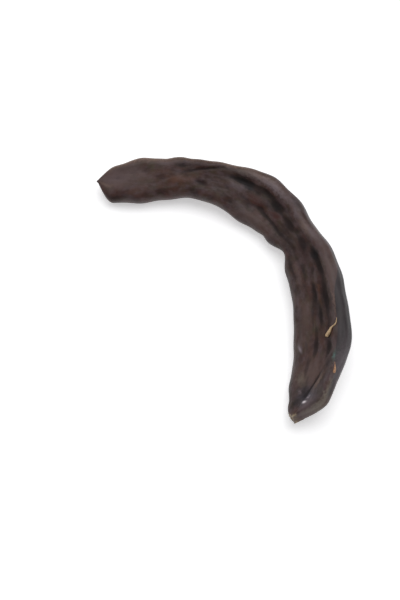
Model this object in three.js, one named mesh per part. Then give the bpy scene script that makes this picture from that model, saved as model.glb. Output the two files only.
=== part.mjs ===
// One ripe, dried carob pod: a flat, leathery legume that bends through more than a right angle and rolls as it goes.
// It lies on three low points of its inner rim, and its outer rim is raised.
// Units are millimetres, +Z is up, and the origin is on the resting surface, below the middle of the pod's box.
//
// Every point of the skin has two coordinates. "along" runs from 0 at the style tip to 1 at the stalk scar.
// "across" runs from -1 at the inner, concave edge to +1 at the outer, convex edge, over the top or the under face.
import * as THREE from "three";

// Driving dimensions of the whole pod.
const LENGTH = 208; // along the middle line, from the style tip to the stalk scar
const HALF_WIDTH_AT_STYLE = 10.4; // half the width of a broad face, in the style half
const HALF_WIDTH_AT_STALK = 13.1; // the same, in the stalk half
const RIM_THICKNESS = 10.6; // through the swollen rims that carry the sutures
const WEB_AT_STYLE = 8.8; // through the middle, between two seeds, in the fuller style half
const WEB_AT_STALK = 7; // the same, in the stalk half, where the faces are sunken
const START = new THREE.Vector2(-61.3, 56.5); // where the style tip lies in plan

// The bend in plan: the heading turns clockwise, in degrees from +X.
const HEADING_AT_STYLE = -4;
const BENDS = [
  { turn: 48, from: 0.11, to: 0.51 },
  { turn: 45, from: 0.35, to: 0.8 },
  { turn: 41, from: 0.75, to: 1.05 },
];

// The roll lifts the outer edge, in degrees from lying flat.
const ROLL_AT_STYLE = 18;
const ROLL_AT_STALK = 36;

// The pod stands on its inner rim, and arches between the three low points where it touches the surface.
const SETTLE = 0.35; // how far the low points are pressed flat
const ARCHES = [
  { along: 0.29, swell: 2.4, spread: 0.1 },
  { along: 0.455, swell: -0.5, spread: 0.04 },
  { along: 0.66, swell: 2.2, spread: 0.1 },
  { along: 0.78, swell: 1.45, spread: 0.09 },
];

// The two ends: how far from each tip the section reaches its full width and thickness.
const BEAK = { length: 1.4, radius: 0.9 };
const STYLE_REACH = { outer: 17, inner: 8, thickness: 18 };
const SNOUT = { outer: 1.4, inner: 5.2, halfThickness: 2.5, length: 8, slant: 1.3, scarDepth: 0.7 };
const STALK_REACH = { outer: 40, inner: 14, thickness: 26 };

// Where an edge swells (+) or draws in (-), in millimetres, as the pod dried.
const OUTER_WAVERS = [
  { along: 0.12, swell: 0.9, spread: 0.025 },
  { along: 0.235, swell: -0.7, spread: 0.03 },
  { along: 0.32, swell: -0.7, spread: 0.03 },
  { along: 0.425, swell: 1.4, spread: 0.045 },
  { along: 0.54, swell: -1.4, spread: 0.03 },
  { along: 0.79, swell: 1.7, spread: 0.045 },
  { along: 0.875, swell: -2.2, spread: 0.03 },
  { along: 0.945, swell: 1.3, spread: 0.025 },
];
const INNER_WAVERS = [
  { along: 0.11, swell: 1, spread: 0.03 },
  { along: 0.23, swell: -1.1, spread: 0.04 },
  { along: 0.38, swell: 1.8, spread: 0.04 },
  { along: 0.475, swell: -1.2, spread: 0.02 },
  { along: 0.55, swell: -4.4, spread: 0.035 },
  { along: 0.8, swell: 1.9, spread: 0.09 },
  { along: 0.965, swell: -1.5, spread: 0.025 },
];

// The swollen rims, and the suture that runs along each edge between two crests.
const RIM = { inset: 2.9, spread: 2.6 };
const SUTURE = { depth: 0.6, spread: 0.32 };

// The row of seeds swells both faces a little and scallops the edges.
const SEEDS = { count: 13, first: 0.05, last: 0.95, rise: 0.4, halfBreadth: 0.45, scallop: 0.45 };

// Swellings (+) and hollows (-) of the dried skin. Length, breadth and height are in millimetres.
// Lean is how far the shape drifts outwards for each millimetre along.
const TOP = 1;
const UNDER = -1;
const RELIEF = [
  { face: TOP, along: 0.055, across: 0.1, height: -0.4, length: 4, breadth: 2.5, lean: 0 },
  { face: TOP, along: 0.12, across: 0.35, height: -0.35, length: 2.5, breadth: 3.5, lean: 0 },
  { face: TOP, along: 0.255, across: -0.36, height: -0.4, length: 4, breadth: 1.5, lean: -0.3 },
  { face: TOP, along: 0.268, across: 0.45, height: -0.5, length: 10, breadth: 1.3, lean: 0.3 },
  { face: TOP, along: 0.348, across: -0.59, height: -0.5, length: 3.5, breadth: 1.8, lean: 0 },
  { face: TOP, along: 0.41, across: 0.55, height: -0.8, length: 13, breadth: 1.7, lean: -0.03 },
  { face: TOP, along: 0.45, across: -0.7, height: 0.45, length: 18, breadth: 3, lean: 0 },
  { face: TOP, along: 0.46, across: 0.3, height: -0.6, length: 4, breadth: 2, lean: 0 },
  { face: TOP, along: 0.51, across: -0.12, height: -0.5, length: 18, breadth: 1.4, lean: -0.05 },
  { face: TOP, along: 0.6, across: 0.7, height: 0.7, length: 28, breadth: 3.2, lean: 0 },
  { face: TOP, along: 0.628, across: 0.4, height: -1.2, length: 5.5, breadth: 1.9, lean: 0 },
  { face: TOP, along: 0.65, across: -0.5, height: -0.7, length: 16, breadth: 1.3, lean: 0.07 },
  { face: TOP, along: 0.71, across: 0.43, height: -0.8, length: 10, breadth: 1.6, lean: 0 },
  { face: TOP, along: 0.77, across: 0.1, height: -0.7, length: 18, breadth: 1.6, lean: 0.03 },
  { face: TOP, along: 0.823, across: -0.59, height: 0.5, length: 5, breadth: 1.5, lean: 0 },
  { face: TOP, along: 0.908, across: 0.3, height: -0.6, length: 5, breadth: 1.2, lean: -0.43 },
  { face: TOP, along: 0.934, across: 0, height: -0.8, length: 3.5, breadth: 2.4, lean: 0 },
  { face: TOP, along: 0.955, across: 0, height: 0.5, length: 2.2, breadth: 2.6, lean: 0 },
  { face: UNDER, along: 0.2, across: 0.1, height: -0.5, length: 14, breadth: 1.7, lean: 0.08 },
  { face: UNDER, along: 0.33, across: -0.3, height: -0.4, length: 5, breadth: 2, lean: 0 },
  { face: UNDER, along: 0.47, across: 0.35, height: -0.8, length: 13, breadth: 1.8, lean: -0.06 },
  { face: UNDER, along: 0.6, across: -0.1, height: -0.6, length: 9, breadth: 1.6, lean: 0.1 },
  { face: UNDER, along: 0.7, across: 0.5, height: 0.6, length: 20, breadth: 3, lean: 0 },
  { face: UNDER, along: 0.8, across: 0.1, height: -0.7, length: 11, breadth: 1.7, lean: -0.05 },
  { face: UNDER, along: 0.91, across: 0.2, height: -0.5, length: 5, breadth: 2.3, lean: 0 },
];

// Points of the mesh.
const RINGS = 108;
const AROUND = 40;
const END_CROWDING = 0.4; // how much closer together the rings are at both ends
const PLAN_STEPS = 400;

const { degToRad, lerp, smoothstep, clamp } = THREE.MathUtils;
const bump = (x, centre, spread) => Math.exp(-(((x - centre) / spread) ** 2));
const rounded = (x) => 1 - (1 - clamp(x, 0, 1)) ** 2;
const total = (numbers) => numbers.reduce((sum, number) => sum + number, 0);
const swelling = (wavers, along) => total(wavers.map((w) => w.swell * bump(along, w.along, w.spread)));

// How full the section is at a place across it: flat over the faces and squarely rounded at the edges.
const fullness = (across) => (1 - Math.abs(across) ** 7) ** (1 / 2.4);

// The pod's heading in plan, in radians clockwise from +X.
function heading(along) {
  const turned = BENDS.map(({ turn, from, to }) => turn * smoothstep(along, from, to));
  return degToRad(HEADING_AT_STYLE + total(turned));
}

// The middle line in plan, found by following the heading from the style tip.
function followPlan() {
  const points = [START.clone()];
  for (let i = 0; i < PLAN_STEPS; i++) {
    const turn = heading((i + 0.5) / PLAN_STEPS);
    const step = new THREE.Vector2(Math.cos(turn), -Math.sin(turn)).multiplyScalar(LENGTH / PLAN_STEPS);
    points.push(points[i].clone().add(step));
  }
  return points;
}

const plan = followPlan();

function planPoint(along) {
  const place = clamp(along, 0, 1) * PLAN_STEPS;
  const i = Math.min(Math.floor(place), PLAN_STEPS - 1);
  return plan[i].clone().lerp(plan[i + 1], place - i);
}

// The cross-section's place and directions: forward goes on along the pod, outward is towards the outer edge,
// and upward points out of the top face.
function station(along) {
  const turn = heading(along);
  const roll = degToRad(lerp(ROLL_AT_STYLE, ROLL_AT_STALK, smoothstep(along, 0.25, 0.8)));
  const halfWidth = lerp(HALF_WIDTH_AT_STYLE, HALF_WIDTH_AT_STALK, smoothstep(along, 0.1, 0.7));
  const up = new THREE.Vector3(0, 0, 1);
  const forward = new THREE.Vector3(Math.cos(turn), -Math.sin(turn), 0);
  const outward = new THREE.Vector3().crossVectors(up, forward).applyAxisAngle(forward, roll);
  const upward = new THREE.Vector3().crossVectors(forward, outward);
  const crest = halfWidth - RIM.inset;
  const standing = crest * Math.sin(roll) + (RIM_THICKNESS / 2) * fullness(crest / halfWidth) * Math.cos(roll);
  const { x, y } = planPoint(along);
  const centre = new THREE.Vector3(x, y, standing + swelling(ARCHES, along) - SETTLE);
  return { centre, forward, outward, upward, halfWidth };
}

// One seed after another, as a wave from 0 between two seeds to 1 over a seed. No two are quite alike.
function seedWave(along) {
  const turns = (SEEDS.count * (along - SEEDS.first)) / (SEEDS.last - SEEDS.first);
  const drift = 0.16 * Math.sin(9.2 * along + 0.7) + 0.07 * Math.sin(23 * along);
  const size = 0.75 + 0.25 * Math.sin(37 * along + 1.1);
  const ends = smoothstep(along, 0.02, 0.1) * (1 - smoothstep(along, 0.88, 0.97));
  return size * ends * (0.5 + 0.5 * Math.cos(2 * Math.PI * (turns + drift)));
}

// The section's extents: to the outer edge, to the inner edge, and the share of the full thickness that it has.
function extents(along, halfWidth) {
  const fromStyle = along * LENGTH - BEAK.length;
  const fromStalk = (1 - along) * LENGTH;
  const beak = BEAK.radius * Math.sqrt(clamp((along * LENGTH) / BEAK.length, 0, 1));
  const side = (name) => {
    const style = lerp(beak, halfWidth, rounded(fromStyle / STYLE_REACH[name]));
    return lerp(SNOUT[name], style, rounded(fromStalk / STALK_REACH[name]));
  };
  const scallop = SEEDS.scallop * (seedWave(along) - 0.4);
  const thin = lerp(beak / (RIM_THICKNESS / 2), 1, rounded(fromStyle / STYLE_REACH.thickness));
  return {
    outer: side("outer") + scallop + swelling(OUTER_WAVERS, along),
    inner: side("inner") + scallop / 2 + swelling(INNER_WAVERS, along),
    thick: lerp(SNOUT.halfThickness / (RIM_THICKNESS / 2), thin, rounded(fromStalk / STALK_REACH.thickness)),
  };
}

// The height of one swelling or hollow at a place of the skin.
function reliefHeight(shape, along, across, halfWidth) {
  const lengthwise = (along - shape.along) * LENGTH;
  const crosswise = (across - shape.across) * halfWidth - shape.lean * lengthwise;
  return shape.height * bump(lengthwise, 0, shape.length) * bump(crosswise, 0, shape.breadth);
}

// A point of the skin. The angle goes round the section from the outer edge, over the top face, to the inner edge.
function skinPoint(along, angle) {
  const { centre, forward, outward, upward, halfWidth } = station(along);
  const { outer, inner, thick } = extents(along, halfWidth);
  const across = Math.cos(angle);
  const face = Math.sin(angle) < 0 ? UNDER : TOP;
  const reach = across > 0 ? outer : inner;
  const rim = bump(reach * (1 - Math.abs(across)), RIM.inset, RIM.spread);
  const seed = SEEDS.rise * seedWave(along) * bump(across, 0, SEEDS.halfBreadth);
  const relief = RELIEF.filter((shape) => shape.face === face).map((shape) =>
    reliefHeight(shape, along, across, halfWidth),
  );
  const web = lerp(WEB_AT_STYLE, WEB_AT_STALK, smoothstep(along, 0.15, 0.45));
  const half = thick * (lerp(web, RIM_THICKNESS, rim) / 2 + seed + total(relief));
  const through = face * fullness(across) * half;
  const suture = thick * SUTURE.depth * bump(through / half, 0, SUTURE.spread) * Math.abs(across) ** 6;
  const slant = SNOUT.slant * across * (1 - smoothstep((1 - along) * LENGTH, 0, SNOUT.length));
  return centre
    .clone()
    .addScaledVector(outward, across * reach - Math.sign(across) * suture)
    .addScaledVector(upward, through)
    .addScaledVector(forward, slant);
}

// Where the rings lie along the pod: closer together at both ends, where the outline turns quickly.
function ringPlace(i) {
  const even = i / RINGS;
  return even - (END_CROWDING * Math.sin(2 * Math.PI * even)) / (2 * Math.PI);
}

function podGeometry() {
  const points = [station(0).centre];
  for (let i = 1; i <= RINGS; i++) {
    for (let j = 0; j < AROUND; j++) {
      points.push(skinPoint(ringPlace(i), (2 * Math.PI * j) / AROUND));
    }
  }
  const end = station(1);
  const scarMiddle = end.centre.clone().addScaledVector(end.outward, (SNOUT.outer - SNOUT.inner) / 2);
  points.push(scarMiddle.addScaledVector(end.forward, -SNOUT.scarDepth));

  // Index 0 is the style tip, and the last index is the middle of the stalk scar.
  const scar = points.length - 1;
  const at = (i, j) => 1 + (i - 1) * AROUND + (j % AROUND);
  const triangles = [];
  for (let j = 0; j < AROUND; j++) {
    triangles.push(0, at(1, j + 1), at(1, j));
    for (let i = 1; i < RINGS; i++) {
      triangles.push(at(i, j), at(i, j + 1), at(i + 1, j));
      triangles.push(at(i, j + 1), at(i + 1, j + 1), at(i + 1, j));
    }
    triangles.push(at(RINGS, j), at(RINGS, j + 1), scar);
  }

  // The low points are pressed flat on the resting surface.
  const pressed = points.map(({ x, y, z }) => new THREE.Vector3(x, y, Math.max(z, 0)));
  const geometry = new THREE.BufferGeometry().setFromPoints(pressed);
  geometry.setIndex(triangles);
  geometry.computeVertexNormals();
  return geometry;
}

const skin = new THREE.MeshStandardMaterial({ color: 0x4a3a36, roughness: 0.5, metalness: 0 });
const pod = new THREE.Mesh(podGeometry(), skin);
pod.name = "pod";

const part = new THREE.Group();
part.add(pod);

export default part;
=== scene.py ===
"""One ripe, dried carob pod, dressed for a studio picture.

The pod is a flat, leathery legume that bends through more than a right angle and rolls as it goes. Its
skin follows one rule. "along" runs from 0 at the style tip to 1 at the stalk scar, and "across" runs from
-1 at the inner edge to +1 at the outer edge, over the top or the under face. Shapes are worked out in
millimetres, and meshes are in metres.
"""

import logging
import math
from collections.abc import Callable
from dataclasses import dataclass, replace
from enum import Enum
from typing import Any, TypeAlias, Union

import bpy
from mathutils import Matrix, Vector
from mathutils.bvhtree import BVHTree


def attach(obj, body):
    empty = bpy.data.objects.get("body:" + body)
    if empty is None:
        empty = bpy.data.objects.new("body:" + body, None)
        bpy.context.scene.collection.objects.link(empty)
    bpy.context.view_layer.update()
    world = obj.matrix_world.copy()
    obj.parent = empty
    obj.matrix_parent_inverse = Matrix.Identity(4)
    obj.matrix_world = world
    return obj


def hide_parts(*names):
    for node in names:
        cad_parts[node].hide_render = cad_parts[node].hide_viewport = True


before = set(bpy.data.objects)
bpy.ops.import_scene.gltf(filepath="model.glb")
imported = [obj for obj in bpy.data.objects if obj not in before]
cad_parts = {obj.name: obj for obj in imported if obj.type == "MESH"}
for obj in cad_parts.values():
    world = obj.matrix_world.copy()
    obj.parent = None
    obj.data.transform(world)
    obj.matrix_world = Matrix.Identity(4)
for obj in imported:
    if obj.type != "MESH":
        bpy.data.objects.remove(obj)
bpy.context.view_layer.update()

LOG = logging.getLogger("carob_pod")
MM = 0.001  # metres in a millimetre
BODY = "root"
NODE = "pod"
FACE_FLATNESS = 7.0
EDGE_ROUNDNESS = 2.4

CREASE_WIDTH = 0.14

Value: TypeAlias = Union["Field", float]
Range: TypeAlias = tuple[float, float]


class Field:
    """A value in a node tree that may differ from point to point. Arithmetic on it adds Math nodes."""

    def __init__(self, socket: bpy.types.NodeSocket) -> None:
        """Wraps an output socket."""
        self.socket = socket

    def reckon(self, operation: str, *others: Value) -> "Field":
        """Adds one Math node.

        Args:
            operation: The node's operation.
            others: What follows this field in the operation.

        Returns:
            The result.
        """
        node = self.socket.id_data.nodes.new("ShaderNodeMath")
        node.operation = operation
        for socket, value in zip(node.inputs, (self, *others)):
            connect(socket, value)
        return Field(node.outputs[0])

    def __add__(self, other: Value) -> "Field":
        """The sum."""
        return self.reckon("ADD", other)

    def __mul__(self, other: Value) -> "Field":
        """The product."""
        return self.reckon("MULTIPLY", other)

    __radd__ = __add__
    __rmul__ = __mul__

    def __sub__(self, other: Value) -> "Field":
        """The difference."""
        return self.reckon("SUBTRACT", other)

    def __rsub__(self, other: Value) -> "Field":
        """The difference, the other way round."""
        return self.reckon("MULTIPLY_ADD", -1.0, other)

    def __truediv__(self, other: Value) -> "Field":
        """The quotient."""
        return self.reckon("DIVIDE", other)

    def __rtruediv__(self, other: Value) -> "Field":
        """The quotient, the other way round."""
        return self.reckon("POWER", -1.0) * other

    def __pow__(self, other: Value) -> "Field":
        """The power."""
        return self.reckon("POWER", other)

    def __abs__(self) -> "Field":
        """The size without its sign."""
        return self.reckon("ABSOLUTE")


def connect(socket: bpy.types.NodeSocket, value: Any) -> None:
    """Links a field or an output to an input socket, or sets the input to a constant.

    Args:
        socket: The input socket.
        value: A field, an output socket or a constant.
    """
    source = value.socket if isinstance(value, Field) else value
    if isinstance(source, bpy.types.NodeSocket):
        socket.id_data.links.new(source, socket)
    else:
        socket.default_value = source


def enabled(sockets: Any, name: str) -> bpy.types.NodeSocket:
    """The socket of that name that the node's settings leave in use."""
    return next(socket for socket in sockets if socket.enabled and socket.name == name)


def either(operation: str, plain: Callable[[float], float], x: Value) -> Value:
    """One function of one value, of a field or of a plain number.

    Args:
        operation: The Math node's operation.
        plain: The same function for a plain number.
        x: The value.

    Returns:
        The function's value.
    """
    return x.reckon(operation) if isinstance(x, Field) else plain(x)


def sine(x: Value) -> Value:
    """The sine of an angle in radians."""
    return either("SINE", math.sin, x)


def cosine(x: Value) -> Value:
    """The cosine of an angle in radians."""
    return either("COSINE", math.cos, x)


def side_of(x: Value) -> Value:
    """The sign of a value, -1 or +1."""
    return either("SIGN", lambda number: math.copysign(1.0, number), x)


def clamped(x: Value, low: float = 0.0, high: float = 1.0) -> Value:
    """The value, held between two limits.

    Args:
        x: The value.
        low: The lower limit.
        high: The upper limit.

    Returns:
        The value within its limits.
    """
    if isinstance(x, Field):
        return x.reckon("MAXIMUM", low).reckon("MINIMUM", high)
    return min(max(x, low), high)


def ease(x: Value, start: float, end: float) -> Value:
    """A smooth step from 0 at start to 1 at end.

    Args:
        x: The value.
        start: Where the step begins.
        end: Where the step ends, which may lie before its start.

    Returns:
        The step's height.
    """
    share = clamped((x - start) / (end - start))
    return share * share * (3.0 - share * 2.0)


def lerp(a: Value, b: Value, share: Value) -> Value:
    """A value on the way from a to b."""
    return (b - a) * share + a


def bump(x: Value, centre: Value, spread: Value) -> Value:
    """A smooth hill of height 1 over its centre."""
    away = (x - centre) / spread
    return either("EXPONENT", math.exp, away * away * -1.0)


def rounded(x: Value) -> Value:
    """A quarter of a rounded profile, from 0 at 0 to 1 at 1 and beyond."""
    rest = 1.0 - clamped(x)
    return 1.0 - rest * rest


class Bench:
    """A node tree under construction."""

    def __init__(self, tree: bpy.types.NodeTree) -> None:
        """Takes the tree to add nodes to."""
        self.tree = tree

    def add(self, kind: str, inputs: dict[str, Any] | None = None, **settings: Any) -> bpy.types.Node:
        """Adds a node.

        Args:
            kind: The node's type.
            inputs: Fields, outputs or constants, by the names of the node's inputs.
            settings: The node's own settings.

        Returns:
            The node.
        """
        node = self.tree.nodes.new(kind)
        for name, setting in settings.items():
            setattr(node, name, setting)
        for name, value in (inputs or {}).items():
            connect(enabled(node.inputs, name), value)
        return node

    def vector(self, x: Value, y: Value, z: Value) -> Field:
        """A vector of three values."""
        return Field(self.add("ShaderNodeCombineXYZ", {"X": x, "Y": y, "Z": z}).outputs[0])

    def parts(self, vector: Field) -> tuple[Field, Field, Field]:
        """The three values of a vector."""
        node = self.add("ShaderNodeSeparateXYZ", {"Vector": vector})
        return Field(node.outputs[0]), Field(node.outputs[1]), Field(node.outputs[2])

    def scaled(self, vector: Any, scale: Value) -> Field:
        """A vector made longer or shorter."""
        node = self.add("ShaderNodeVectorMath", {"Vector": vector, "Scale": scale}, operation="SCALE")
        return Field(node.outputs[0])

    def noise(self, place: Field, detail: float = 2.0, roughness: float = 0.5, scale: Value = 1.0) -> Field:
        """Smooth noise.

        Args:
            place: Where it is read.
            detail: How many finer layers it has.
            roughness: How strong the finer layers are.
            scale: How many features there are to a unit.

        Returns:
            The noise, mostly between 0.25 and 0.75.
        """
        layers = {"Vector": place, "Scale": scale, "Detail": detail, "Roughness": roughness}
        return Field(self.add("ShaderNodeTexNoise", layers).outputs["Fac"])


class GeometryBench(Bench):
    """A Geometry Nodes tree under construction, with its named sizes."""

    def __init__(self, name: str) -> None:
        """Starts an empty tree with one geometry input and one geometry output.

        Args:
            name: The tree's name.
        """
        super().__init__(bpy.data.node_groups.new(name, "GeometryNodeTree"))
        self.tree.interface.new_socket("Geometry", in_out="INPUT", socket_type="NodeSocketGeometry")
        self.tree.interface.new_socket("Geometry", in_out="OUTPUT", socket_type="NodeSocketGeometry")
        self.entry = self.add("NodeGroupInput")
        self.flow = self.entry.outputs[0]
        self.sizes: dict[str, float] = {}

    def size(self, name: str, value: float, kind: str = "NodeSocketFloat") -> Field:
        """Adds a named input.

        Args:
            name: The input's name.
            value: What the modifier sets it to.
            kind: The socket's type.

        Returns:
            The input as a field.
        """
        socket = self.tree.interface.new_socket(name, in_out="INPUT", socket_type=kind)
        self.sizes[socket.identifier] = value
        return Field(self.entry.outputs[name])

    def then(self, kind: str, inputs: dict[str, Any] | None = None, **settings: Any) -> bpy.types.Node:
        """Adds a node that takes the geometry so far and hands it on.

        Args:
            kind: The node's type.
            inputs: Its other inputs, by their names.
            settings: The node's own settings.

        Returns:
            The node.
        """
        node = self.add(kind, inputs, **settings)
        connect(node.inputs[0], self.flow)
        self.flow = node.outputs[0]
        return node

    def store(self, name: str, value: Field, kind: str = "FLOAT") -> None:
        """Keeps a value on every point as a named attribute.

        Args:
            name: The attribute's name.
            value: The value.
            kind: The attribute's type.
        """
        settings = {"data_type": kind, "domain": "POINT"}
        self.then("GeometryNodeStoreNamedAttribute", {"Name": name, "Value": value}, **settings)

    def kept(self, name: str, kind: str = "FLOAT") -> Field:
        """A named attribute that was kept earlier."""
        return Field(self.add("GeometryNodeInputNamedAttribute", {"Name": name}, data_type=kind).outputs[0])

    def make(self, name: str, host: bpy.types.ID, material: bpy.types.Material) -> bpy.types.Object:
        """Ends the tree, runs it once on a host and keeps what comes out as a plain mesh.

        Args:
            name: The new object's name.
            host: The curve or mesh that the tree starts from.
            material: The finish of what comes out.

        Returns:
            The new object, at the origin.
        """
        self.then("GeometryNodeRealizeInstances")
        self.then("GeometryNodeSetMaterial", {"Material": material})
        connect(self.add("NodeGroupOutput").inputs[0], self.flow)
        carrier = bpy.data.objects.new(name + "_host", host)
        bpy.context.scene.collection.objects.link(carrier)
        modifier = carrier.modifiers.new(name, "NODES")
        modifier.node_group = self.tree
        for identifier, value in self.sizes.items():
            modifier[identifier] = value
        finished = carrier.evaluated_get(bpy.context.evaluated_depsgraph_get())
        mesh = bpy.data.meshes.new_from_object(finished)
        carrier.modifiers.remove(modifier)
        bpy.data.objects.remove(carrier)
        mesh.name = name
        piece = bpy.data.objects.new(name, mesh)
        bpy.context.scene.collection.objects.link(piece)
        return piece


class Face(Enum):
    """A broad face of the pod."""

    TOP = 1
    UNDER = -1


@dataclass(frozen=True)
class Bend:
    """A stretch of the pod where it turns clockwise in plan, by degrees."""

    turn: float
    start: float
    end: float


@dataclass(frozen=True)
class Waver:
    """A place along the pod where something swells (+) or draws in (-), in millimetres."""

    along: float
    swell: float
    spread: float


@dataclass(frozen=True)
class Relief:
    """A swelling (+) or hollow (-) of the dried skin, in millimetres.

    Its lean is how far it drifts outwards for each millimetre along.
    """

    face: Face
    along: float
    across: float
    height: float
    length: float
    breadth: float
    lean: float = 0.0


@dataclass(frozen=True)
class Sway:
    """A slow rise and fall along the pod: its pace and its start in radians, and its size."""

    pace: float
    start: float
    size: float

    def at(self, along: Value) -> Value:
        """How far it has risen at a place along the pod."""
        return sine(along * self.pace + self.start) * self.size


@dataclass(frozen=True)
class End:
    """How far from an end the section reaches its full width on each side and its full thickness."""

    outer: float
    inner: float
    thickness: float


@dataclass(frozen=True)
class Station:
    """The middle of a cross-section and how it is turned, in millimetres and radians."""

    x: Value
    y: Value
    z: Value
    heading: Value
    roll: Value
    half_width: Value

    def place(self, outward: Value, upward: Value, forward: Value) -> tuple[Value, Value, Value]:
        """Where a point of the section is.

        Args:
            outward: Its distance towards the outer edge.
            upward: Its distance towards the top face.
            forward: Its distance on towards the stalk end.

        Returns:
            Its x, y and z.
        """
        level = outward * cosine(self.roll) - upward * sine(self.roll)
        rise = outward * sine(self.roll) + upward * cosine(self.roll)
        x = self.x + level * sine(self.heading) + forward * cosine(self.heading)
        y = self.y + level * cosine(self.heading) - forward * sine(self.heading)
        return x, y, self.z + rise


def swelling(wavers: tuple[Waver, ...], along: Value) -> Value:
    """The sum of all wavers at a place along the pod."""
    return sum(bump(along, waver.along, waver.spread) * waver.swell for waver in wavers)


def fullness(across: Value) -> Value:
    """How full the section is at a place across it: flat over the faces and squarely rounded at the edges."""
    return (1.0 - abs(across) ** FACE_FLATNESS) ** (1 / EDGE_ROUNDNESS)


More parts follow.
